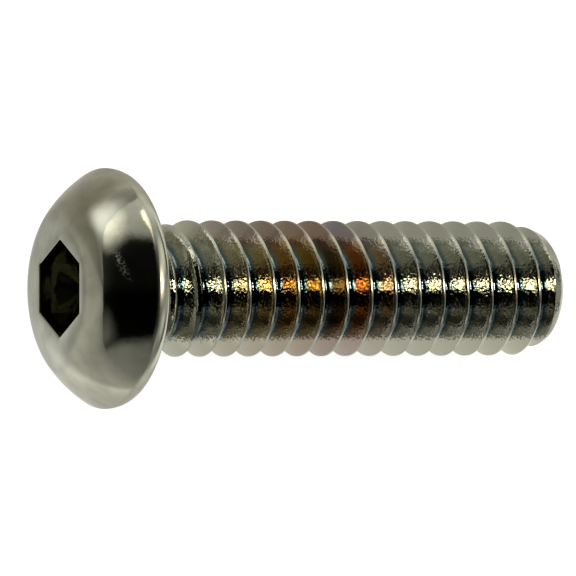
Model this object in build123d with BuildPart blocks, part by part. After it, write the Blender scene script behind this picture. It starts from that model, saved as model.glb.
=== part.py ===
from build123d import *
import math
import os

# A button head screw with a hexagon socket, 1/4-20 UNC by 7/8 inch, in millimetres.
#
# The screw is made upright on its own axis: Z = 0 is the bearing face under the
# head, the crown is above it and the shank hangs below. It is then laid down as it
# comes to rest, on the rim of its head and on one crest of its thread.

# Head: a low crown over a short rounded rim.
head_diameter = 10.96
head_height = 2.93
side_height = 0.69  # where the crown meets the side before the rim is rounded
top_diameter = 6.76  # where the crown meets the flat top before the two are blended
top_blend = 2.60
rim_round = 0.30
bearing_edge_chamfer = 0.26

# Hexagon socket, 5/32 inch across its flats, with the cone that its punch leaves.
socket_across_flats = 3.97
socket_depth = 2.20
socket_point_angle = 120.0
socket_chamfer = 0.12

# Shank, and the thinner neck that carries the first turns under the head.
shank_length = 22.225
neck_diameter = 5.80
neck_length = 2.35
neck_taper_length = 0.60

# Right-hand thread, left standing between the turns of one groove.
thread_diameter = 6.24
thread_pitch = 1.27
thread_angle = 60.0
thread_depth = 0.78
crest_width = 0.16
first_groove = 0.79  # from the bearing face down to the groove, on the +X side
plain_length = 0.45  # the groove ends this far under the head
runout_length = 0.90  # the groove reaches its full depth this much further down

# Point: a short cone with a broken edge.
point_diameter = 5.04  # where the cone meets the end face before the edge is broken
point_length = 1.60
point_chamfer = 0.36

head_radius = head_diameter / 2
top_radius = top_diameter / 2
socket_radius = socket_across_flats / 2
neck_radius = neck_diameter / 2
thread_radius = thread_diameter / 2
root_radius = thread_radius - thread_depth

# The crown's arc is centred on the axis and passes through its two sharp corners.
crown_centre = (head_height**2 + top_radius**2 - side_height**2 - head_radius**2) / (
    2 * (head_height - side_height)
)
crown_radius = math.hypot(head_radius, side_height - crown_centre)

# Half the groove's width at its root, at the crest and where the cutter stands clear.
flank_slope = math.tan(math.radians(thread_angle / 2))
crest_half_width = (thread_pitch - crest_width) / 2
root_half_width = crest_half_width - thread_depth * flank_slope
cutter_clearance = crest_width / 4
cutter_half_width = crest_half_width + cutter_clearance * flank_slope
cutter_radius = thread_radius + cutter_clearance

# Blank: head and shank as one turned section.
with BuildPart() as blank:
    with BuildSketch(Plane.XZ) as section:
        with Locations((0, crown_centre)):
            Circle(crown_radius)
        with Locations((0, head_height / 2)):
            Rectangle(head_diameter, head_height, mode=Mode.INTERSECT)
        with BuildLine():
            Polyline(
                (0, 0),
                (neck_radius, 0),
                (neck_radius, -neck_length),
                (thread_radius, -neck_length - neck_taper_length),
                (thread_radius, point_length - shank_length),
                (point_diameter / 2, -shank_length),
                (0, -shank_length),
                close=True,
            )
        make_face()
        with Locations((-head_radius, 0)):
            Rectangle(head_diameter, 2 * (head_height + shank_length), mode=Mode.SUBTRACT)
        crown_rounds = {
            (top_radius, head_height): top_blend,
            (head_radius, side_height): rim_round,
        }
        for corner, corner_radius in crown_rounds.items():
            fillet(section.vertices().sort_by_distance(corner)[0], corner_radius)
        broken_edges = {
            (head_radius, 0): bearing_edge_chamfer,
            (point_diameter / 2, -shank_length): point_chamfer,
        }
        for corner, leg in broken_edges.items():
            chamfer(section.vertices().sort_by_distance(corner)[0], leg)
    revolve(axis=Axis.Z)

# One turn of the groove's cutter.
with BuildPart() as groove_turn:
    with BuildLine() as turn_path:
        Helix(thread_pitch, thread_pitch, thread_radius)
    with BuildSketch(Plane.XZ):
        with BuildLine():
            Polyline(
                (root_radius, -root_half_width),
                (cutter_radius, -cutter_half_width),
                (cutter_radius, cutter_half_width),
                (root_radius, root_half_width),
                close=True,
            )
        make_face()
    sweep(path=turn_path.line, is_frenet=True, clean=False)

# Where no groove is cut: round the head, and inside the cone that the groove
# climbs as it runs out under the head.
runout_rise = runout_length / (neck_radius - root_radius)
with BuildPart() as runout:
    with BuildSketch(Plane.XZ):
        with BuildLine():
            Polyline(
                (0, -plain_length - neck_radius * runout_rise),
                (head_radius, (head_radius - neck_radius) * runout_rise - plain_length),
                (head_radius, head_radius * runout_rise),
                (0, head_radius * runout_rise),
                close=True,
            )
        make_face()
    revolve(axis=Axis.Z)

turns = math.ceil((shank_length + cutter_half_width - first_groove) / thread_pitch) + 1
cutters = []
for turn in range(turns):
    with BuildPart() as cutter:
        with Locations((0, 0, -first_groove - turn * thread_pitch)):
            add(groove_turn.part)
        add(runout.part, mode=Mode.SUBTRACT)
    cutters.append(cutter.part)

# The screw, standing on its own axis.
with BuildPart() as upright:
    add(blank.part)
    with BuildSketch(Plane.XY.offset(head_height - socket_depth)):
        RegularPolygon(socket_radius, 6, major_radius=False, rotation=90)
    extrude(amount=head_height, mode=Mode.SUBTRACT)
    with BuildSketch(Plane.XY.offset(head_height - socket_chamfer)):
        RegularPolygon(socket_radius, 6, major_radius=False, rotation=90)
    extrude(amount=2 * socket_chamfer, taper=-45, mode=Mode.SUBTRACT)
    with BuildSketch(Plane.XZ):
        socket_floor = head_height - socket_depth
        punch_depth = socket_radius / math.tan(math.radians(socket_point_angle / 2))
        with BuildLine():
            Polyline(
                (0, socket_floor),
                (socket_radius, socket_floor),
                (0, socket_floor - punch_depth),
                close=True,
            )
        make_face()
    revolve(axis=Axis.Z, mode=Mode.SUBTRACT)
    for cutter_part in cutters:
        add(cutter_part, mode=Mode.SUBTRACT)

# Laid down: the line from the head's edge to the last full crest becomes the floor.
crests_below = math.floor((shank_length - point_length - first_groove) / thread_pitch)
last_crest = first_groove + crests_below * thread_pitch + crest_width / 2
contact_span = last_crest + bearing_edge_chamfer
rest_tilt = math.degrees(math.atan((head_radius - thread_radius) / contact_span))
lying = upright.part.rotate(Axis.Y, rest_tilt - 90)
lying_box = lying.bounding_box()

with BuildPart() as button_head_screw:
    with Locations((-lying_box.center().X, -lying_box.center().Y, -lying_box.min.Z)):
        add(lying)
button_head_screw.part.label = "button_head_screw"

os.makedirs("parts", exist_ok=True)
export_step(button_head_screw.part, "parts/button_head_screw.step")
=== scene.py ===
"""Studio scene of a button head screw: the turned and rolled steel piece, its finish and its light."""

from __future__ import annotations

import logging
import math
from collections.abc import Sequence
from dataclasses import dataclass, field
from enum import Enum

import bmesh
import bpy
from mathutils import Matrix, Vector

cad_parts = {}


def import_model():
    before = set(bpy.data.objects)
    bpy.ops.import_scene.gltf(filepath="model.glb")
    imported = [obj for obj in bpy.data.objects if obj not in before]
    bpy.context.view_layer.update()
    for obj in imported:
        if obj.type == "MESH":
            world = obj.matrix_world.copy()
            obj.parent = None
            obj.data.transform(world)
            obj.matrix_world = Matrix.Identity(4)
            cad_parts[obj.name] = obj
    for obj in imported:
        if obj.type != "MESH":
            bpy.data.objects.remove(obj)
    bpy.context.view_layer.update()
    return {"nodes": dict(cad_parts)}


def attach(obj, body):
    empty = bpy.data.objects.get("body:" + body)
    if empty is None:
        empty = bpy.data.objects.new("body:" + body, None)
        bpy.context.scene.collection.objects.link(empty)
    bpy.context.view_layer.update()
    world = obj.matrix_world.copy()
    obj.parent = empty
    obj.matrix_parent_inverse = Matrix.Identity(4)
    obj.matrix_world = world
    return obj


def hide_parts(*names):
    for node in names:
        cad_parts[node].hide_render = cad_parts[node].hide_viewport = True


# Short names for the types that are written most.
Mesh = bmesh.types.BMesh
Edge = bmesh.types.BMEdge
Point = bmesh.types.BMVert
Tree = bpy.types.NodeTree
Value = bpy.types.NodeSocket
Span = tuple[float, float]
Place = tuple[float, float, float]
Colour = tuple[float, float, float, float]
Levels = tuple[tuple[float, float], ...]

LOG = logging.getLogger("screw_scene")

MILLIMETRE = 0.001
MERGE_REACH = 1e-3  # points closer than this, in millimetres, become one
HEIGHT_REACH = 1e-4  # how far off a height, in millimetres, a point may be and still lie on it
AXIS = Vector((0.0, 0.0, 1.0))
ACROSS = Vector((0.0, 1.0, 0.0))
SOFTLY = {"interpolation_type": "SMOOTHSTEP"}
LEVEL_MIX = {"data_type": "FLOAT"}  # its levels go in at 2 and 3
COLOUR_MIX = {"data_type": "RGBA"}  # its colours go in at 6 and 7, and come out at 2


def linear_colour(hex_colour: str) -> Colour:
    """Turn an sRGB hex value into the linear colour that a shader takes.

    Args:
        hex_colour: six hex digits, such as "9a968a".

    Returns:
        Linear red, green and blue with an alpha of 1.
    """
    channels = [int(hex_colour[i : i + 2], 16) / 255 for i in (0, 2, 4)]
    red, green, blue = [
        c / 12.92 if c <= 0.04045 else ((c + 0.055) / 1.055) ** 2.4 for c in channels
    ]
    return red, green, blue, 1.0


def greys(levels: Levels, unit: float = 1.0) -> list[tuple[float, Colour]]:
    """Turn places that have a level into places, in a unit, that have a grey of that level."""
    return [(where * unit, (level, level, level, 1.0)) for where, level in levels]


def add_node(tree: Tree, kind: str, settings: dict[str, object] | None = None,
             inputs: dict[str | int, object] | None = None) -> bpy.types.Node:
    """Add one node to a tree, with its settings and what feeds it.

    Args:
        tree: the node tree of a material or of the world.
        kind: the node's type name, such as "ShaderNodeTexNoise".
        settings: properties of the node itself, by name.
        inputs: for each socket, by name or number, an output socket to link or a value.

    Returns:
        The new node.
    """
    node = tree.nodes.new(kind)
    for name, value in (settings or {}).items():
        setattr(node, name, value)
    for name, value in (inputs or {}).items():
        if isinstance(value, Value):
            tree.links.new(value, node.inputs[name])
        else:
            node.inputs[name].default_value = value
    return node


def carry(value: Value, start: Sequence[float], end: Sequence[float | Value] = (0.0, 1.0)
          ) -> dict[str, float | Value]:
    """Give the inputs of a range node that carry a value over from one span to another."""
    return {"Value": value, "From Min": start[0], "From Max": start[1],
            "To Min": end[0], "To Max": end[1]}


def colour_along(tree: Tree, value: Value, marks: list[tuple[float, Colour]]) -> Value:
    """Give a colour that changes with a value.

    Args:
        tree: the node tree.
        value: the value that the colour follows.
        marks: values in rising order, with the colour at each.

    Returns:
        The output socket with the colour.
    """
    first, last = marks[0][0], marks[-1][0]
    share = add_node(tree, "ShaderNodeMapRange", {}, carry(value, (first, last)))
    ramp = add_node(tree, "ShaderNodeValToRGB", {}, {"Fac": share.outputs[0]})
    stops = ramp.color_ramp.elements
    while len(stops) < len(marks):
        stops.new(0.5)
    for stop, (where, colour) in zip(stops, marks):
        stop.position = (where - first) / (last - first)
        stop.color = colour
    return ramp.outputs["Color"]


def draw_line(section: Mesh, start: Point, radius: float, height: float, steps: int = 1) -> Point:
    """Draw a straight run of a section, in equal steps.

    Args:
        section: the mesh that holds the section's wire.
        start: the point that the run leaves.
        radius: the radius at the run's end, in millimetres.
        height: the height along the axis at the run's end, in millimetres.
        steps: how many edges the run has.

    Returns:
        The point at the run's end.
    """
    step = (Vector((radius, 0.0, height)) - start.co) / steps
    for _ in range(steps):
        grown = bmesh.ops.extrude_vert_indiv(section, verts=[start])
        start = grown["verts"][0]
        bmesh.ops.translate(section, verts=[start], vec=step)
    return start


def draw_arc(section: Mesh, start: Point, centre: Span, degrees: float, steps: int) -> Point:
    """Draw a round of a section by turning its last point about a centre.

    Args:
        section: the mesh that holds the section's wire.
        start: the point that the arc leaves.
        centre: the arc's centre, as radius and height in millimetres.
        degrees: how far the arc turns, counter-clockwise in a section seen with its radius to
            the right and its height upwards.
        steps: how many edges the arc has.

    Returns:
        The point at the arc's end.
    """
    turned = bmesh.ops.spin(
        section, geom=[start], cent=(centre[0], 0.0, centre[1]), axis=-ACROSS,
        angle=math.radians(degrees), steps=steps, dvec=(0.0, 0.0, 0.0),
    )
    return next(v for v in turned["geom_last"] if isinstance(v, Point))


def rim_edges(mesh: Mesh, height: float) -> list[Edge]:
    """Find the open edges that lie at one height along the axis.

    Args:
        mesh: the mesh to look through.
        height: the height in millimetres.

    Returns:
        The boundary edges at that height.
    """
    return [
        e for e in mesh.edges
        if e.is_boundary and all(abs(v.co.z - height) < HEIGHT_REACH for v in e.verts)
    ]


def grow_ring(mesh: Mesh, edges: list[Edge]) -> tuple[list[Edge], list[Point]]:
    """Extrude a closed run of edges, ready for its new points to be moved.

    Args:
        mesh: the mesh that holds the edges.
        edges: the run, which is open on one side.

    Returns:
        The new run's edges and its points, which still lie on the old ones.
    """
    grown = bmesh.ops.extrude_edge_only(mesh, edges=edges)["geom"]
    return [g for g in grown if isinstance(g, Edge)], [g for g in grown if isinstance(g, Point)]


@dataclass
class Thread:
    """The right-hand thread that is rolled into the shank.

    Lengths are in millimetres. Heights are measured along the axis from the bearing face and
    grow towards the head.
    """

    pitch: float = 1.27
    crest_radius: float = 3.12
    root_radius: float = 2.227
    root_round: float = 0.12
    crest_round: float = 0.025
    flank_degrees: float = 30.0
    crest_width: float = 0.10
    first_groove: float = 0.79  # from the bearing face down to the first groove's bottom
    plain_length: float = 0.45  # the groove ends this far under the head
    runout_length: float = 0.90  # and reaches its full depth this much further down
    steps_per_turn: int = 120
    flank_steps: int = 10
    root_steps: int = 4
    crest_steps: int = 2

    def draw_ridge(self, section: Mesh, groove_height: float) -> None:
        """Draw the section of one ridge, from the bottom of one groove to the next.

        Args:
            section: an empty mesh that takes the wire.
            groove_height: the height of the lower groove.
        """
        turn = 90.0 - self.flank_degrees
        slope = math.tan(math.radians(self.flank_degrees))
        crest_low = groove_height + (self.pitch - self.crest_width) / 2
        crest_high = crest_low + self.crest_width
        # The crest's small rounds start this far in from its sharp corners.
        trim = self.crest_round * math.tan(math.radians(turn / 2))
        drop = trim * math.cos(math.radians(self.flank_degrees))
        last = section.verts.new((self.root_radius, 0.0, groove_height))
        root_centre = self.root_radius + self.root_round
        last = draw_arc(section, last, (root_centre, groove_height), -turn, self.root_steps)
        last = draw_line(section, last, self.crest_radius - drop, crest_low - drop * slope,
                         self.flank_steps)
        crest_centre = self.crest_radius - self.crest_round
        last = draw_arc(section, last, (crest_centre, crest_low + trim), turn, self.crest_steps)
        last = draw_line(section, last, self.crest_radius, crest_high - trim, self.crest_steps)
        last = draw_arc(section, last, (crest_centre, crest_high - trim), turn, self.crest_steps)
        next_groove = groove_height + self.pitch
        foot_rise = self.root_round * math.sin(math.radians(turn))
        foot_radius = root_centre - self.root_round * math.cos(math.radians(turn))
        last = draw_line(section, last, foot_radius, next_groove - foot_rise, self.flank_steps)
        draw_arc(section, last, (root_centre, next_groove), -turn, self.root_steps)

    def runout_radius(self, height: float, neck_radius: float) -> float:
        """Give the radius that the groove may reach where it climbs out under the head."""
        rise = self.runout_length / (neck_radius - self.root_radius)
        return neck_radius + (height + self.plain_length) / rise


@dataclass
class Shank:
    """The shank: an undercut neck under the head, the threaded length and a rounded point.

    The softness is how wide, in millimetres, a crest is rounded over where the groove leaves
    the blank's surface: hardly at all on the thread, and well over on the neck, where the
    rolling didn't fill the crests.
    """

    thread: Thread = field(default_factory=Thread)
    length: float = 22.225
    neck_radius: float = 2.90
    neck_length: float = 2.35
    neck_taper_length: float = 0.60
    undercut_depth: float = 0.10
    undercut_length: float = 0.75
    point_radius: float = 2.52  # where the point's cone would meet the end face
    point_length: float = 1.60
    point_round: float = 0.62
    edge_softness: float = 0.02
    neck_softness: float = 0.20
    end_rings: tuple[float, ...] = (0.97, 0.6, 0.25, 0.0)  # shares of the end face's radius

    def __post_init__(self) -> None:
        """Work out where the point's cone meets its rounded edge."""
        crest = self.thread.crest_radius
        self.cone_angle = math.atan2(crest - self.point_radius, self.point_length)
        self.round_sweep = math.pi / 2 - self.cone_angle
        trim = self.point_round * math.tan(self.round_sweep / 2)
        self.round_centre = (self.point_radius - trim, self.point_round - self.length)
        self.round_start = trim * math.cos(self.cone_angle) - self.length
        self.round_length = self.point_round * self.round_sweep

    def past_neck(self, height: float) -> float:
        """Give how far a height is down the neck's taper, from 0 on the neck to 1 below it."""
        return min(max(-self.neck_length - height, 0.0) / self.neck_taper_length, 1.0)

    def blank_point(self, height: float) -> Span:
        """Give the radius and height of the unthreaded blank's surface.

        Args:
            height: height along the axis. Past the start of the point's rounded edge it is
                counted along the round instead, so that the mesh there stays even.

        Returns:
            The blank's radius and the height that belongs to it.
        """
        crest = self.thread.crest_radius
        if height < self.round_start:
            swept = (self.round_start - height) / self.point_round
            angle = min(self.cone_angle + swept, math.pi / 2)
            centre_radius, centre_height = self.round_centre
            return (centre_radius + self.point_round * math.cos(angle),
                    centre_height - self.point_round * math.sin(angle))
        past_shoulder = self.point_length - self.length - height
        if past_shoulder > 0:
            return crest - past_shoulder * math.tan(self.cone_angle), height
        if height > -self.undercut_length:
            undercut = self.undercut_depth * (1.0 + height / self.undercut_length)
            return self.neck_radius - undercut, height
        return self.neck_radius + self.past_neck(height) * (crest - self.neck_radius), height

    def shape_vertex(self, vertex: Point) -> None:
        """Press one point of the even thread into the blank's outline.

        The point takes the smaller of the groove's radius and the blank's, with the change
        from one to the other rounded over.

        Args:
            vertex: the point, which keeps its angle about the axis.
        """
        radius = math.hypot(vertex.co.x, vertex.co.y)
        blank_radius, height = self.blank_point(vertex.co.z)
        groove = max(radius, self.thread.runout_radius(height, self.neck_radius))
        sharpening = self.past_neck(height) * (self.edge_softness - self.neck_softness)
        softness = self.neck_softness + sharpening
        blend = min(max(0.5 + 0.5 * (blank_radius - groove) / softness, 0.0), 1.0)
        pressed = blank_radius + (groove - blank_radius) * blend
        pressed -= softness * blend * (1.0 - blend)
        vertex.co.x *= pressed / radius
        vertex.co.y *= pressed / radius
        vertex.co.z = height

    def roll(self, bottom: float, top: float) -> Mesh:
        """Roll an even thread and cut it to length.

        Args:
            bottom: the height of the lower cut.
            top: the height of the upper cut.

        Returns:
            The thread, open at both ends.
        """
        thread = self.thread
        below = math.ceil((-bottom - thread.first_groove) / thread.pitch + 1)
        start = -thread.first_groove - below * thread.pitch
        turns = math.ceil((top - start) / thread.pitch)
        rolled = bmesh.new()
        thread.draw_ridge(rolled, start)
        bmesh.ops.spin(
            rolled, geom=rolled.verts[:] + rolled.edges[:], cent=(0.0, 0.0, 0.0), axis=AXIS,
            dvec=(0.0, 0.0, thread.pitch / thread.steps_per_turn),
            angle=math.tau, steps=thread.steps_per_turn,
        )
        one_turn = rolled.verts[:] + rolled.edges[:] + rolled.faces[:]
        for turn in range(1, turns):
            copy = bmesh.ops.duplicate(rolled, geom=one_turn)["geom"]
            copied = [g for g in copy if isinstance(g, Point)]
            bmesh.ops.translate(rolled, verts=copied, vec=(0.0, 0.0, turn * thread.pitch))
        bmesh.ops.remove_doubles(rolled, verts=rolled.verts[:], dist=MERGE_REACH)
        for height, outwards in ((top, 1.0), (bottom, -1.0)):
            bmesh.ops.bisect_plane(
                rolled, geom=rolled.verts[:] + rolled.edges[:] + rolled.faces[:],
                dist=HEIGHT_REACH, plane_co=(0.0, 0.0, height), plane_no=(0.0, 0.0, outwards),
                clear_outer=True,
            )
        return rolled

    def close_end(self, shank: Mesh) -> None:
        """Close the end face with rings that shrink to its middle.

        Args:
            shank: the shaped shank, open at its end.
        """
        edges = rim_edges(shank, -self.length)
        for share in self.end_rings:
            edges, ring = grow_ring(shank, edges)
            radius = max(math.hypot(v.co.x, v.co.y) for v in ring)
            scale = share * self.round_centre[0] / radius
            bmesh.ops.scale(shank, verts=ring, vec=(scale, scale, 1.0))
        bmesh.ops.remove_doubles(shank, verts=ring, dist=MERGE_REACH)

    def build(self, top: float) -> Mesh:
        """Roll the thread, shape the neck and the point, and close the end.

        Args:
            top: the height at which the shank is cut to meet the head.

        Returns:
            The shank, open at its top.
        """
        shank = self.roll(self.round_start - self.round_length, top)
        for vertex in shank.verts:
            self.shape_vertex(vertex)
        self.close_end(shank)
        return shank


@dataclass
class Socket:
    """The hexagon socket with its rounded mouth and the cone that its punch left."""

    half_width: float = 1.93
    depth: float = 2.20
    mouth_round: float = 0.07
    mouth_steps: int = 4
    cone_degrees: float = 120.0
    cone_rings: tuple[float, ...] = (0.985, 0.7, 0.4)  # shares of the half width
    apex_round: float = 0.15

    def hexagon_reach(self, angle: float) -> float:
        """Give how far the hexagon's side is from the axis, for a half width of 1."""
        past_corner = (angle - math.pi / 2) % (math.pi / 3)
        return 1.0 / math.cos(past_corner - math.pi / 6)

    def place_ring(self, ring: list[Point], half_width: float, height: float,
                   round_off: float) -> None:
        """Move a ring of points onto a hexagon or a circle.

        Args:
            ring: the points, which keep their angle about the axis.
            half_width: half the width across the flats, or the circle's radius.
            height: the ring's height.
            round_off: 0 for the hexagon, 1 for the circle.
        """
        for vertex in ring:
            angle = math.atan2(vertex.co.y, vertex.co.x)
            reach = self.hexagon_reach(angle)
            radius = half_width * (reach + (1.0 - reach) * round_off)
            vertex.co = (radius * math.cos(angle), radius * math.sin(angle), height)

    def ring_sizes(self, top: float) -> list[Place]:
        """Give the rings of the socket, from its mouth to the cone's rounded apex.

        Args:
            top: the height of the head's flat top.

        Returns:
            For each ring its half width, its height, and 0 for a hexagon or 1 for a circle.
        """
        floor = top - self.depth
        slope = 1.0 / math.tan(math.radians(self.cone_degrees / 2))
        apex = floor - self.half_width * slope
        rings = []
        for part in range(self.mouth_steps + 1):
            angle = math.pi / 2 * part / self.mouth_steps
            rings.append((self.half_width + self.mouth_round * (1.0 - math.sin(angle)),
                          top - self.mouth_round * (1.0 - math.cos(angle)), 0.0))
        rings += [(self.half_width, (top + floor) / 2, 0.0), (self.half_width, floor, 0.0)]
        for share in self.cone_rings:
            rings.append((self.half_width * share, apex + self.half_width * share * slope, 1.0))
        rings.append((self.apex_round, apex + self.apex_round * slope, 1.0))
        rings.append((0.0, apex + self.apex_round * slope / 2, 1.0))
        return rings

    def build(self, head: Mesh, top: float) -> None:
        """Sink the socket into the head's flat top.

        Args:
            head: the head, open round its axis at the top.
            top: the height of the flat top.
        """
        edges = rim_edges(head, top)
        for half_width, height, round_off in self.ring_sizes(top):
            edges, ring = grow_ring(head, edges)
            self.place_ring(ring, half_width, height, round_off)
        bmesh.ops.remove_doubles(head, verts=ring, dist=MERGE_REACH)


@dataclass
class Head:
    """The low domed head: a crown blended into a flat top, a bulged side and a bearing face."""

    socket: Socket = field(default_factory=Socket)
    radius: float = 5.475
    height: float = 2.93
    side_height: float = 0.70  # where the crown would meet the side, before the rim is rounded
    top_radius: float = 3.38  # where the crown would meet the flat top, before they are blended
    top_blend: float = 2.60
    rim_round: float = 0.30
    side_bulge: float = 1.00  # the radius of the side's bulge
    side_sweep: float = 28.0  # and how many degrees of it there are under the rim
    bearing_edge_round: float = 0.28
    neck_round: float = 0.30
    steps_round: int = 192
    face_steps: int = 3
    edge_steps: int = 6
    side_steps: int = 5
    crown_steps: int = 8

    def draw_underside(self, head: Mesh, neck_radius: float) -> Point:
        """Draw the section from the neck along the bearing face and up the bulged side.

        Args:
            head: an empty mesh that takes the wire.
            neck_radius: the radius of the shank where the head ends.

        Returns:
            The point where the side is at its widest.
        """
        neck_centre = neck_radius + self.neck_round
        last = head.verts.new((neck_radius, 0.0, -self.neck_round))
        last = draw_arc(head, last, (neck_centre, -self.neck_round), -90.0, self.edge_steps)
        sweep = math.radians(self.side_sweep)
        side_centre = self.radius - self.side_bulge
        inset = self.side_bulge - self.bearing_edge_round
        edge_centre = side_centre + inset * math.cos(sweep)
        side_middle = self.bearing_edge_round + inset * math.sin(sweep)
        last = draw_line(head, last, edge_centre, 0.0, self.face_steps)
        last = draw_arc(head, last, (edge_centre, self.bearing_edge_round),
                        90.0 - self.side_sweep, self.edge_steps)
        return draw_arc(head, last, (side_centre, side_middle), self.side_sweep, self.side_steps)

    def draw_crown(self, head: Mesh, last: Point) -> None:
        """Draw the section over the rim and the crown, and blend it into the flat top.

        Args:
            head: the mesh that holds the wire.
            last: the point where the side is at its widest.
        """
        # The crown's arc is centred on the axis and passes through its two sharp corners.
        rise = self.height - self.side_height
        crown_centre = (self.height**2 + self.top_radius**2 - self.side_height**2
                        - self.radius**2) / (2 * rise)
        crown_radius = math.hypot(self.radius, self.side_height - crown_centre)
        rim_centre = self.radius - self.rim_round
        rim_lift = math.sqrt((crown_radius - self.rim_round) ** 2 - rim_centre**2)
        rim_angle = math.degrees(math.atan2(rim_lift, rim_centre))
        rim_height = crown_centre + rim_lift
        blend_height = self.height - self.top_blend
        blend_lift = blend_height - crown_centre
        blend_centre = math.sqrt((crown_radius - self.top_blend) ** 2 - blend_lift**2)
        blend_angle = math.degrees(math.atan2(blend_lift, blend_centre))
        last = draw_line(head, last, self.radius, rim_height)
        last = draw_arc(head, last, (rim_centre, rim_height), rim_angle, self.side_steps)
        last = draw_arc(head, last, (0.0, crown_centre), blend_angle - rim_angle,
                        self.crown_steps)
        draw_arc(head, last, (blend_centre, blend_height), 90.0 - blend_angle, self.crown_steps)

    def build(self, neck_radius: float) -> Mesh:
        """Turn the head and sink its socket.

        Args:
            neck_radius: the radius of the shank where the head ends.

        Returns:
            The head, open where the shank joins it.
        """
        head = bmesh.new()
        widest = self.draw_underside(head, neck_radius)
        self.draw_crown(head, widest)
        bmesh.ops.spin(
            head, geom=head.verts[:] + head.edges[:], cent=(0.0, 0.0, 0.0), axis=AXIS,
            dvec=(0.0, 0.0, 0.0), angle=math.tau, steps=self.steps_round, use_merge=True,
        )
        self.socket.build(head, self.height)
        return head


@dataclass
class Screw:
    """The whole screw, lying as it comes to rest on its head's edge and its thread.

    Its place is that of the middle of its bearing face, in millimetres.
    """

    head: Head = field(default_factory=Head)
    shank: Shank = field(default_factory=Shank)
    rest_tilt_degrees: float = 6.670297
    bearing_centre: Place = (-9.553360, 0.0, 5.412794)
    sharp_degrees: float = 40.0

    def lay_down(self) -> Matrix:
        """Give the turn, move and scale that take the upright screw to its place."""
        turn = Matrix.Rotation(math.radians(self.rest_tilt_degrees - 90.0), 4, "Y")
        return Matrix.Scale(MILLIMETRE, 4) @ Matrix.Translation(self.bearing_centre) @ turn

    def join(self) -> Mesh:
        """Join head and shank into one closed body that points outwards.

        Returns:
            The screw, standing upright on its own axis, in millimetres.
        """
        join_height = -self.head.neck_round
        body = self.shank.build(join_height)
        head_mesh = bpy.data.meshes.new("screw_head")
        head = self.head.build(self.shank.blank_point(join_height)[0])
        head.to_mesh(head_mesh)
        head.free()
        body.from_mesh(head_mesh)
        bpy.data.meshes.remove(head_mesh)
        bmesh.ops.bridge_loops(body, edges=rim_edges(body, join_height))
        bmesh.ops.recalc_face_normals(body, faces=body.faces[:])
        return body

    def build(self, finish: bpy.types.Material) -> bpy.types.Object:
        """Make the screw's body, lay it down and give it its finish.

        Args:
            finish: the material of the whole screw.

        Returns:
            The finished piece.
        """
        body = self.join()
        for face in body.faces:
            face.smooth = True
        for edge in body.edges:
            edge.smooth = edge.calc_face_angle(0.0) < math.radians(self.sharp_degrees)
        bmesh.ops.transform(body, matrix=self.lay_down(), verts=body.verts[:])
        mesh = bpy.data.meshes.new("screw_body")
        body.to_mesh(mesh)
        body.free()
        mesh.materials.append(finish)
        piece = bpy.data.objects.new("screw_body", mesh)
        bpy.context.scene.collection.objects.link(piece)
        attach(piece, "root")
        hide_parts("button_head_screw")
        return piece


class Side(Enum):
    """A side of the shank as it lies. The value is the side's column in the list of tints."""

    TOP = 1
    LEFT = 2
    RIGHT = 3


@dataclass(frozen=True)
class Relief:
    """A random relief in a surface: how wide its spots are and how high, in millimetres."""

    size: float
    height: float
    detail: float = 1.0
    distortion: float = 0.0


@dataclass(frozen=True)
class Spot:
    """What the finish reads at each spot of the screw, as sockets of its node tree.

    Places are in the upright screw's own frame, in millimetres, with Z along its axis towards
    the head. Shares go from 0 to 1.
    """

    flat: Value
    radius: Value
    sideways: Value
    height: Value
    grain: Value
    dents: Value
    smears: Value
    off_crest: Value
    on_shank: Value
    on_flank: Value


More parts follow.
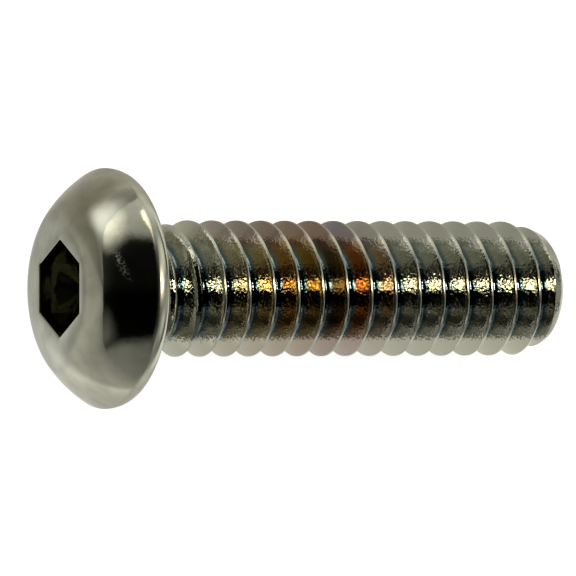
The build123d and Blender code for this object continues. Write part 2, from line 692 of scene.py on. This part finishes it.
@dataclass(frozen=True)
class PlatedSteel:
    """Bright nickel-plated steel, turned on the head, rolled and heat-tinted on the thread.

    Each tint is a distance down the shank from the bearing face, in millimetres, with the colours
    that the heat left there: along the screw's top, and on its left and right side. Of each pair
    of places, something starts at the first and is at its full at the second.
    """

    # To the eye the level plate on the head is a clear mirror, dulled a little by smears. Under the
    # plate on the flanks the rolled steel's grain and shallow dents break that mirror into glints, and
    # the oxide film turns them gold, brown and grey. A painted shade darkens the thread along its top.
    plate_colour: str = "bdbeae"
    # Painted shade: the socket's walls take a darker colour.
    socket_shade_colour: str = "8f907c"
    socket_start: Span = (0.03, 0.07)  # distances down from the flat top
    socket_reach: Span = (2.38, 2.36)  # distances from the axis, just outside its corners
    # Bluish roots: partly temper-blue oxide, partly a painted bluish reflection.
    root_oxide_and_reflection_colour: str = "8c9ea0"
    tints: tuple[tuple[float, str, str, str], ...] = (
        (3.6, "bdbeae", "bdbeae", "bdbeae"),
        (4.7, "bfb89c", "a7a099", "bdbaaa"),
        (6.0, "b8ab84", "9a8e86", "bdb9a6"),
        (7.3, "ae9062", "92847a", "b9b2a0"),
        (8.5, "a89560", "948171", "b5a896"),
        (9.8, "6b6755", "907c6b", "b0a092"),
        (11.0, "b58449", "8a8388", "ab9d96"),
        (12.3, "b6ac94", "a3a298", "b9b0a2"),
        (13.4, "bdbeae", "b1b4a8", "bdbeae"),
    )
    tint_wander: float = 0.5  # how far the dents shift the tints along the shank
    side_start: Span = (1.7, 2.5)  # places across the screw, for the left and the right alike
    # Painted shade on the thread: how much of its colour is kept, by the place across the screw.
    painted_shade: Levels = (
        (-2.32, 1.0), (-2.22, 0.36), (-1.60, 0.50), (-0.90, 0.70), (-0.40, 0.70), (0.30, 0.86),
        (1.20, 0.82), (2.08, 0.62), (2.18, 1.0),
    )
    painted_shade_edge: float = 0.9  # how far the grain shifts the painted shade's edges
    shank_start: Span = (-0.1, -0.5)
    end_face: Span = (0.05, 0.35)  # distances up from the end face
    crest_band: Span = (3.112, 3.095)
    root_oxide_and_reflection_band: Span = (2.52, 2.32)
    rim_band: Span = (5.40, 5.46)
    head_roughness: float = 0.09
    rim_roughness: float = 0.30
    flank_roughness: float = 0.05
    crest_roughness: float = 0.24
    # The real grain is finer. It is drawn as coarse as it has to be to show.
    grain: Relief = Relief(0.11, 0.013)
    dents: Relief = Relief(0.55, 0.012)
    smears: Relief = Relief(1.1, 0.009, 4.0, 0.2)
    smear_colour: str = "aeafa0"
    smear_band: Span = (0.40, 0.66)  # shares of the smears' height
    scuff_middle: Span = (4.40, 0.95)  # seen along the axis
    scuff_size: Span = (1.30, 0.24)
    scuff_turn: float = -62.0  # degrees
    scuff_fade: Span = (1.0, 0.2)  # shares of the scuff's size
    scuff_grain: Span = (0.30, 0.75)  # shares of the grain's height
    scuff_roughness: float = 0.48

    def read_spot(self, tree: Tree, screw: Screw) -> Spot:
        """Find where each spot of the surface lies on the screw, and the reliefs there.

        Args:
            tree: the material's node tree.
            screw: the screw, for its place.

        Returns:
            What the rest of the finish reads.
        """
        place = add_node(tree, "ShaderNodeTexCoord")
        own = add_node(tree, "ShaderNodeMapping", {"vector_type": "TEXTURE"}, {
            "Vector": place.outputs["Object"],
            "Location": Vector(screw.bearing_centre) * MILLIMETRE,
            "Rotation": (0.0, math.radians(screw.rest_tilt_degrees - 90.0), 0.0),
            "Scale": (MILLIMETRE, MILLIMETRE, MILLIMETRE)}).outputs["Vector"]
        parts = add_node(tree, "ShaderNodeSeparateXYZ", {}, {0: own})
        flat = add_node(tree, "ShaderNodeVectorMath", {"operation": "MULTIPLY"},
                        {0: own, 1: (1.0, 1.0, 0.0)}).outputs[0]
        radius = add_node(tree, "ShaderNodeVectorMath", {"operation": "LENGTH"},
                          {0: flat}).outputs["Value"]
        grain, dents, smears = [
            add_node(tree, "ShaderNodeTexNoise", {}, {
                "Vector": own, "Scale": 1.0 / relief.size, "Detail": relief.detail,
                "Distortion": relief.distortion}).outputs[0]
            for relief in (self.grain, self.dents, self.smears)
        ]
        on_shank, off_crest = [
            add_node(tree, "ShaderNodeMapRange", SOFTLY, carry(value, span)).outputs[0]
            for value, span in ((parts.outputs["Z"], self.shank_start), (radius, self.crest_band))
        ]
        on_flank = add_node(tree, "ShaderNodeMath", {"operation": "MULTIPLY"},
                            {0: on_shank, 1: off_crest}).outputs[0]
        return Spot(flat, radius, parts.outputs["Y"], parts.outputs["Z"], grain, dents, smears,
                    off_crest, on_shank, on_flank)

    def relief(self, tree: Tree, spot: Spot) -> Value:
        """Press grain and dents into the flanks, and soft waves into the head.

        Args:
            tree: the material's node tree.
            spot: what the finish reads.

        Returns:
            The surface's direction.
        """
        on_head = add_node(tree, "ShaderNodeMath", {"operation": "SUBTRACT"},
                           {0: 1.0, 1: spot.on_shank}).outputs[0]
        layers = ((self.grain, spot.grain, spot.on_flank), (self.dents, spot.dents, spot.on_flank),
                  (self.smears, spot.smears, on_head))
        under = {}
        for relief, spots, share in layers:
            pressed = add_node(tree, "ShaderNodeBump", {}, {
                "Strength": share, "Distance": relief.height * MILLIMETRE, "Height": spots,
                **under})
            under = {"Normal": pressed.outputs[0]}
        return under["Normal"]

    def scuff(self, tree: Tree, spot: Spot) -> Value:
        """Give the one faint scuff on the crown, where fine scratches lie close together.

        Args:
            tree: the material's node tree.
            spot: what the finish reads.

        Returns:
            How much of the surface is rubbed there, as a share.
        """
        along = add_node(tree, "ShaderNodeMapping", {"vector_type": "TEXTURE"}, {
            "Vector": spot.flat, "Location": (*self.scuff_middle, 0.0),
            "Rotation": (0.0, 0.0, math.radians(self.scuff_turn)),
            "Scale": (*self.scuff_size, 1.0)})
        off = add_node(tree, "ShaderNodeVectorMath", {"operation": "LENGTH"}, {0: along.outputs[0]})
        near = add_node(tree, "ShaderNodeMapRange", SOFTLY,
                        carry(off.outputs["Value"], self.scuff_fade))
        scratched = add_node(tree, "ShaderNodeMapRange", SOFTLY,
                             carry(spot.grain, self.scuff_grain))
        return add_node(tree, "ShaderNodeMath", {"operation": "MULTIPLY"},
                        {0: near.outputs[0], 1: scratched.outputs[0]}).outputs[0]

    def roughness(self, tree: Tree, spot: Spot) -> Value:
        """Polish the flanks and the crown, and leave the crests, the rim and the scuff duller.

        Args:
            tree: the material's node tree.
            spot: what the finish reads.

        Returns:
            The roughness.
        """
        head = add_node(tree, "ShaderNodeMapRange", SOFTLY, carry(
            spot.radius, self.rim_band, (self.head_roughness, self.rim_roughness)))
        scuffed = add_node(tree, "ShaderNodeMix", LEVEL_MIX, {
            0: self.scuff(tree, spot), 2: head.outputs[0], 3: self.scuff_roughness})
        shank = add_node(tree, "ShaderNodeMix", LEVEL_MIX, {
            0: spot.off_crest, 2: self.crest_roughness, 3: self.flank_roughness})
        return add_node(tree, "ShaderNodeMix", LEVEL_MIX, {
            0: spot.on_shank, 2: scuffed.outputs[0], 3: shank.outputs[0]}).outputs[0]

    def tint(self, tree: Tree, spot: Spot) -> Value:
        """Give the heat tint along the shank, from its top, left and right columns.

        Args:
            tree: the material's node tree.
            spot: what the finish reads.

        Returns:
            The tinted plate's colour.
        """
        # The dents make the tints' edges wander a little.
        wander = add_node(tree, "ShaderNodeMath", {"operation": "MULTIPLY_ADD"}, {
            0: spot.dents, 1: self.tint_wander, 2: -self.tint_wander / 2})
        depth = add_node(tree, "ShaderNodeMath", {"operation": "SUBTRACT"},
                         {0: wander.outputs[0], 1: spot.height}).outputs[0]
        columns = {
            side: colour_along(tree, depth, [
                (row[0], linear_colour(row[side.value])) for row in self.tints])
            for side in Side
        }
        tint = columns[Side.TOP]
        start, full = self.side_start
        for side, span in ((Side.LEFT, (start, full)), (Side.RIGHT, (-start, -full))):
            turned_down = add_node(tree, "ShaderNodeMapRange", SOFTLY, carry(spot.sideways, span))
            tint = add_node(tree, "ShaderNodeMix", COLOUR_MIX, {
                0: turned_down.outputs[0], 6: tint, 7: columns[side]}).outputs[2]
        return tint

    def thread_colour(self, tree: Tree, spot: Spot) -> Value:
        """Give the tinted flanks, their roots, partly oxide-blue and partly a painted bluish
        reflection, and a painted shade across the top of both.

        Args:
            tree: the material's node tree.
            spot: what the finish reads.

        Returns:
            The thread's colour.
        """
        # The roots turn bluish: partly oxide, partly a painted reflection.
        in_root = add_node(tree, "ShaderNodeMapRange", SOFTLY, carry(spot.radius, self.root_oxide_and_reflection_band))
        rooted = add_node(tree, "ShaderNodeMix", COLOUR_MIX, {
            0: in_root.outputs[0], 6: self.tint(tree, spot), 7: linear_colour(self.root_oxide_and_reflection_colour)})
        # Painted shade lies along the screw's top, and ends in a ragged line on both sides.
        ragged = add_node(tree, "ShaderNodeMath", {"operation": "MULTIPLY_ADD"}, {
            0: spot.grain, 1: self.painted_shade_edge, 2: -self.painted_shade_edge / 2})
        across = add_node(tree, "ShaderNodeMath", {"operation": "ADD"},
                          {0: spot.sideways, 1: ragged.outputs[0]})
        return add_node(tree, "ShaderNodeVectorMath", {"operation": "MULTIPLY"}, {
            0: rooted.outputs[2],
            1: colour_along(tree, across.outputs[0], greys(self.painted_shade))}).outputs[0]

    def head_colour(self, tree: Tree, spot: Spot, head: Head) -> Value:
        """Give the plate's colour on the head, smeared outside and darker in the socket, where shade
        is painted.

        Args:
            tree: the material's node tree.
            spot: what the finish reads.
            head: the head, for its socket's place.

        Returns:
            The head's colour.
        """
        smeared = add_node(tree, "ShaderNodeMapRange", SOFTLY, carry(spot.smears, self.smear_band))
        outside = add_node(tree, "ShaderNodeMix", COLOUR_MIX, {
            0: smeared.outputs[0], 6: linear_colour(self.plate_colour),
            7: linear_colour(self.smear_colour)})
        # Painted shade inside the socket: a darker colour below its mouth.
        near_axis = add_node(tree, "ShaderNodeMapRange", SOFTLY,
                             carry(spot.radius, self.socket_reach))
        sunk = add_node(tree, "ShaderNodeMapRange", SOFTLY, carry(
            spot.height, [head.height - down for down in self.socket_start]))
        painted_socket_shade = add_node(tree, "ShaderNodeMath", {"operation": "MULTIPLY"},
                             {0: near_axis.outputs[0], 1: sunk.outputs[0]})
        return add_node(tree, "ShaderNodeMix", COLOUR_MIX, {
            0: painted_socket_shade.outputs[0], 6: outside.outputs[2],
            7: linear_colour(self.socket_shade_colour)}).outputs[2]

    def colour(self, tree: Tree, spot: Spot, screw: Screw) -> Value:
        """Give the colour of the whole screw: the thread's on its flanks, and plain plate elsewhere.

        Args:
            tree: the material's node tree.
            spot: what the finish reads.
            screw: the screw, for its head and its length.

        Returns:
            The colour.
        """
        off_end = add_node(tree, "ShaderNodeMapRange", SOFTLY, carry(
            spot.height, [up - screw.shank.length for up in self.end_face]))
        on_thread = add_node(tree, "ShaderNodeMath", {"operation": "MULTIPLY"},
                             {0: spot.on_flank, 1: off_end.outputs[0]})
        return add_node(tree, "ShaderNodeMix", COLOUR_MIX, {
            0: on_thread.outputs[0], 6: self.head_colour(tree, spot, screw.head),
            7: self.thread_colour(tree, spot)}).outputs[2]

    def make(self, screw: Screw) -> bpy.types.Material:
        """Make the material.

        Args:
            screw: the screw that it dresses, for its place and its sizes.

        Returns:
            The material.
        """
        material = bpy.data.materials.new("plated_steel")
        material.use_nodes = True
        tree = material.node_tree
        shader = tree.nodes["Principled BSDF"]
        shader.inputs["Metallic"].default_value = 1.0
        spot = self.read_spot(tree, screw)
        tree.links.new(self.relief(tree, spot), shader.inputs["Normal"])
        tree.links.new(self.roughness(tree, spot), shader.inputs["Roughness"])
        tree.links.new(self.colour(tree, spot, screw), shader.inputs["Base Color"])
        return material


@dataclass(frozen=True)
class View:
    """The camera: far off above the head's end, so that the crown and the thread both show.

    It leans over the target and slides in its own directions, both in millimetres.
    """

    lean_degrees: float = 22.1927
    target: Place = (-5.649962, 0.0, 4.956301)
    slide: Place = (4.3604, 0.0221, 450.0)
    lens: float = 616.4
    clip: Span = (0.01, 10.0)  # metres

    def turn(self) -> Matrix:
        """Give the camera's turn: it leans towards the head from straight above."""
        return Matrix.Rotation(math.radians(-self.lean_degrees), 4, "Y")

    def towards_camera(self) -> Vector:
        """Give the direction from the screw to the camera."""
        return self.turn() @ AXIS

    def build(self) -> None:
        """Place the camera and make it the scene's own."""
        camera = bpy.data.cameras.new("studio_camera")
        camera.lens = self.lens
        camera.clip_start, camera.clip_end = self.clip
        holder = bpy.data.objects.new("studio_camera", camera)
        holder.matrix_world = (
            Matrix.Translation(Vector(self.target) * MILLIMETRE) @ self.turn()
            @ Matrix.Translation(Vector(self.slide) * MILLIMETRE)
        )
        bpy.context.scene.collection.objects.link(holder)
        bpy.context.scene.camera = holder


@dataclass(frozen=True)
class Lamp:
    """A soft lamp that faces the screw: its place and radius in millimetres, and its glow.

    A tallness over 1 stretches the round lamp upwards.
    """

    name: str
    place: Place
    radius: float
    glow: float
    colour: str
    tallness: float = 1.0

    def build(self) -> None:
        """Hang the lamp, with the power that gives its surface the wanted glow."""
        light = bpy.data.lights.new(self.name, "AREA")
        light.shape = "ELLIPSE"
        light.size = 2 * self.radius * MILLIMETRE
        light.size_y = light.size * self.tallness
        light.energy = self.glow * math.pi**2 * light.size * light.size_y / 4
        light.color = linear_colour(self.colour)[:3]
        holder = bpy.data.objects.new(self.name, light)
        holder.location = Vector(self.place) * MILLIMETRE
        holder.rotation_euler = Vector(self.place).to_track_quat("Z", "Y").to_euler()
        bpy.context.scene.collection.objects.link(holder)


@dataclass(frozen=True)
class Glow:
    """A soft round patch of light in one direction.

    The reach says how far from its middle it has faded out, and where it is at its full, both
    for directions of length 1.
    """

    way: Place
    reach: Span
    level: float

    def shine(self, tree: Tree, direction: Value) -> Value:
        """Give the patch's light in the direction that is looked at.

        Args:
            tree: the node tree.
            direction: the direction, of length 1.

        Returns:
            The light's level.
        """
        off = add_node(tree, "ShaderNodeVectorMath", {"operation": "DISTANCE"},
                       {0: direction, 1: Vector(self.way).normalized()})
        return add_node(tree, "ShaderNodeMapRange", SOFTLY,
                        carry(off.outputs["Value"], self.reach, (0.0, self.level))).outputs[0]


@dataclass(frozen=True)
class WhitePaper:
    """Uncoated white paper, pressed smooth and matt.

    Its glow is what the bright metal mirrors of it. Places are in millimetres: the glow changes
    across the screw, in another way beside the head than beside the thread, and fades along it.
    """

    # Paper has no gloss, so to the eye it is an even white with only the screw's soft shadow.
    colour: str = "f4f4f2"
    roughness: float = 0.9
    seen_glow: float = 0.90
    glow: Levels = (
        (-60.0, 0.40), (-25.0, 0.42), (-12.0, 0.40), (-5.0, 0.48), (3.0, 0.30), (7.0, 0.17),
        (11.0, 0.18), (22.0, 0.26), (35.0, 0.36), (60.0, 0.40),
    )
    glow_by_head: Levels = (
        (-60.0, 0.36), (-12.0, 0.48), (-5.0, 0.60), (-1.0, 0.42), (1.0, 0.35), (3.5, 0.32),
        (6.0, 0.06), (10.0, 0.0), (17.0, 0.0), (25.0, 0.18), (60.0, 0.30),
    )
    head_side: Span = (-10.0, -15.0)
    fade: Levels = (
        (-55.0, 0.45), (-28.0, 0.50), (-17.5, 0.68), (-15.3, 1.5), (-12.5, 1.0), (8.0, 1.0),
        (20.0, 2.0), (60.0, 2.0),
    )
    bright_patch: Glow = Glow((-0.66, 0.74, -0.11), (0.43, 0.02), 1.20)
    patch_seen_from: Place = (-11.5, 3.0, 7.5)

    def mirrored_glow(self, tree: Tree) -> Value:
        """Give the glow that the metal mirrors.

        Args:
            tree: the material's node tree.

        Returns:
            The glow's level.
        """
        place = add_node(tree, "ShaderNodeTexCoord").outputs["Object"]
        spot = add_node(tree, "ShaderNodeSeparateXYZ", {}, {0: place})
        by_head = add_node(tree, "ShaderNodeMapRange", SOFTLY, carry(
            spot.outputs["X"], [x * MILLIMETRE for x in self.head_side]))
        by_thread_level, by_head_level, fade = [
            colour_along(tree, spot.outputs[way], greys(levels, MILLIMETRE))
            for way, levels in (("Y", self.glow), ("Y", self.glow_by_head), ("X", self.fade))
        ]
        across = add_node(tree, "ShaderNodeMix", LEVEL_MIX, {
            0: by_head.outputs[0], 2: by_thread_level, 3: by_head_level})
        glowing = add_node(tree, "ShaderNodeMath", {"operation": "MULTIPLY"},
                           {0: across.outputs[0], 1: fade})
        from_head = add_node(tree, "ShaderNodeVectorMath", {"operation": "SUBTRACT"}, {
            0: place, 1: Vector(self.patch_seen_from) * MILLIMETRE})
        way = add_node(tree, "ShaderNodeVectorMath", {"operation": "NORMALIZE"},
                       {0: from_head.outputs[0]})
        return add_node(tree, "ShaderNodeMath", {"operation": "ADD"}, {
            0: glowing.outputs[0], 1: self.bright_patch.shine(tree, way.outputs[0])}).outputs[0]

    def make(self) -> bpy.types.Material:
        """Make the material.

        Returns:
            The material.
        """
        material = bpy.data.materials.new("white_paper")
        material.use_nodes = True
        tree = material.node_tree
        shader = tree.nodes["Principled BSDF"]
        shader.inputs["Base Color"].default_value = linear_colour(self.colour)
        shader.inputs["Roughness"].default_value = self.roughness
        shader.inputs["Specular IOR Level"].default_value = 0.0
        shader.inputs["Emission Color"].default_value = (1.0, 1.0, 1.0, 1.0)
        rays = add_node(tree, "ShaderNodeLightPath")
        mirrored = add_node(tree, "ShaderNodeMath", {"operation": "MULTIPLY"}, {
            0: self.mirrored_glow(tree), 1: rays.outputs["Is Glossy Ray"]})
        seen = add_node(tree, "ShaderNodeMath", {"operation": "MULTIPLY_ADD"}, {
            0: rays.outputs["Is Camera Ray"], 1: self.seen_glow, 2: mirrored.outputs[0]})
        tree.links.new(seen.outputs[0], shader.inputs["Emission Strength"])
        return material


@dataclass(frozen=True)
class Table:
    """The wide table under the screw, covered with white paper."""

    width: float = 4000.0
    paper: WhitePaper = WhitePaper()

    def build(self) -> None:
        """Lay the table."""
        sheet = bmesh.new()
        bmesh.ops.create_grid(sheet, x_segments=1, y_segments=1, size=self.width * MILLIMETRE / 2)
        mesh = bpy.data.meshes.new("floor")
        sheet.to_mesh(mesh)
        sheet.free()
        mesh.materials.append(self.paper.make())
        floor = bpy.data.objects.new("floor", mesh)
        bpy.context.scene.collection.objects.link(floor)


@dataclass(frozen=True)
class Surroundings:
    """What stands round the table: pale panels along both sides and a dim roof between them.

    Directions have a length of 1, with X from the head to the point, Y to the left and Z
    upwards.
    """

    panel_colour: str = "fbfbf3"
    lamp_colour: str = "fffcf2"
    roof_turn: Span = (75.0, 35.0)  # degrees off the camera's direction
    roof_glow: Span = (0.035, 0.005)
    dim_side: Span = (0.12, -0.12)  # places in Y between which the roof gets dimmer
    dim_share: float = 0.12
    panel_edge: Span = (0.62, 0.76)  # places off the middle where the roof gives way to a panel
    panel_turn: Span = (-0.5, 0.5)  # places in Y, with the levels at each in the three glows
    panel_glow: Span = (0.24, 0.66)
    end_low_glow: Span = (0.20, 1.00)
    end_high_glow: Span = (0.20, 0.60)
    panel_rise: Span = (0.0, 0.6)  # places in Z, with the panels' share of their glow at each
    panel_share: Span = (1.3, 0.7)
    end_start: Span = (0.05, 0.28)  # places in X where a panel gives way to its far end
    end_rise: Span = (0.08, 0.33)  # places in Z where that end's low glow gives way to its high one
    patches: tuple[Glow, ...] = (
        Glow((0.80, 0.42, 0.42), (0.38, 0.08), 1.4),
        Glow((0.81, -0.42, 0.40), (0.30, 0.04), 1.4),
        Glow((0.97, -0.10, 0.22), (0.45, 0.10), 0.50),
        Glow((-0.87, -0.48, 0.06), (0.38, 0.05), 0.15),
    )
    soft_lamp: Glow = Glow((-0.69, 0.724, 0.0), (0.50, 0.02), 1.95)

    def roof(self, tree: Tree, direction: Value, across: Value, view: View) -> Value:
        """Give the roof's light, dimmest round the camera and on the right.

        Args:
            tree: the world's node tree.
            direction: the direction that is looked at.
            across: that direction's Y.
            view: the camera.

        Returns:
            The light's level.
        """
        facing = add_node(tree, "ShaderNodeVectorMath", {"operation": "DOT_PRODUCT"},
                          {0: direction, 1: view.towards_camera()})
        level = add_node(tree, "ShaderNodeMapRange", SOFTLY, carry(
            facing.outputs["Value"], [math.cos(math.radians(a)) for a in self.roof_turn],
            self.roof_glow))
        dim = add_node(tree, "ShaderNodeMapRange", SOFTLY,
                       carry(across, self.dim_side, (1.0, self.dim_share)))
        return add_node(tree, "ShaderNodeMath", {"operation": "MULTIPLY"},
                        {0: level.outputs[0], 1: dim.outputs[0]}).outputs[0]

    def side_panels(self, tree: Tree, ways: bpy.types.Node) -> Value:
        """Give the panels' light, with the far ends brighter on the left.

        Args:
            tree: the world's node tree.
            ways: the node with the X, Y and Z of the direction that is looked at.

        Returns:
            The light's level.
        """
        panel, end_low, end_high = [
            add_node(tree, "ShaderNodeMapRange", {},
                     carry(ways.outputs["Y"], self.panel_turn, levels)).outputs[0]
            for levels in (self.panel_glow, self.end_low_glow, self.end_high_glow)
        ]
        share = add_node(tree, "ShaderNodeMapRange", {},
                         carry(ways.outputs["Z"], self.panel_rise, self.panel_share))
        side = add_node(tree, "ShaderNodeMath", {"operation": "MULTIPLY"},
                        {0: panel, 1: share.outputs[0]})
        end = add_node(tree, "ShaderNodeMapRange", SOFTLY,
                       carry(ways.outputs["Z"], self.end_rise, (end_low, end_high)))
        at_end = add_node(tree, "ShaderNodeMapRange", SOFTLY,
                          carry(ways.outputs["X"], self.end_start))
        return add_node(tree, "ShaderNodeMix", LEVEL_MIX, {
            0: at_end.outputs[0], 2: side.outputs[0], 3: end.outputs[0]}).outputs[0]

    def build(self, view: View) -> None:
        """Stand the panels, the roof and the patches of light round the table.

        Args:
            view: the camera, for where the roof is dimmest.
        """
        world = bpy.data.worlds.new("studio")
        world.use_nodes = True
        bpy.context.scene.world = world
        tree = world.node_tree
        direction = add_node(tree, "ShaderNodeTexCoord").outputs["Generated"]
        ways = add_node(tree, "ShaderNodeSeparateXYZ", {}, {0: direction})
        aside = add_node(tree, "ShaderNodeMath", {"operation": "ABSOLUTE"},
                         {0: ways.outputs["Y"]})
        on_panel = add_node(tree, "ShaderNodeMapRange", SOFTLY,
                            carry(aside.outputs[0], self.panel_edge))
        level = add_node(tree, "ShaderNodeMix", LEVEL_MIX, {
            0: on_panel.outputs[0], 2: self.roof(tree, direction, ways.outputs["Y"], view),
            3: self.side_panels(tree, ways)})
        for patch in self.patches:
            level = add_node(tree, "ShaderNodeMath", {"operation": "MAXIMUM"},
                             {0: level.outputs[0], 1: patch.shine(tree, direction)})
        walls, lamp = [
            add_node(tree, "ShaderNodeVectorMath", {"operation": "SCALE"},
                     {0: linear_colour(colour)[:3], "Scale": light}).outputs[0]
            for colour, light in ((self.panel_colour, level.outputs[0]),
                                  (self.lamp_colour, self.soft_lamp.shine(tree, direction)))
        ]
        seen = add_node(tree, "ShaderNodeVectorMath", {"operation": "MAXIMUM"},
                        {0: walls, 1: lamp})
        tree.links.new(seen.outputs[0], tree.nodes["Background"].inputs["Color"])


@dataclass(frozen=True)
class Studio:
    """The plain studio: the table, what stands round it, and four soft warm lamps."""

    table: Table = Table()
    surroundings: Surroundings = Surroundings()
    lamps: tuple[Lamp, ...] = (
        Lamp("small_lamp", (87.0, 13.5, 126.0), 12.0, 36.0, "fff3dc"),
        Lamp("low_lamp", (152.0, -216.0, 146.0), 26.0, 1.5, "fff6e6"),
        Lamp("side_lamp", (-15.0, 262.0, 144.0), 34.0, 2.2, "fff4dc"),
        Lamp("rim_lamp", (-16.0, 24.5, 21.8), 2.8, 2.4, "fff4dc", 2.9),
    )

    def build(self, view: View) -> None:
        """Build the table, the surroundings and the lamps.

        Args:
            view: the camera, for where the roof is dimmest.
        """
        self.table.build()
        self.surroundings.build(view)
        for lamp in self.lamps:
            lamp.build()
            LOG.info("%s at %s mm", lamp.name, lamp.place)


def main() -> None:
    """Build the screw, its finish, the camera and the studio, and note the sizes."""
    logging.basicConfig(level=logging.INFO, format="%(message)s")
    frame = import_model()
    LOG.info("frame: %s", ", ".join(frame["nodes"]))
    bpy.context.scene.view_settings.view_transform = "Standard"
    screw = Screw()
    piece = screw.build(PlatedSteel().make(screw))
    LOG.info("%s: %d faces", piece.name, len(piece.data.polygons))
    view = View()
    view.build()
    Studio().build(view)


if __name__ == "__main__":
    main()
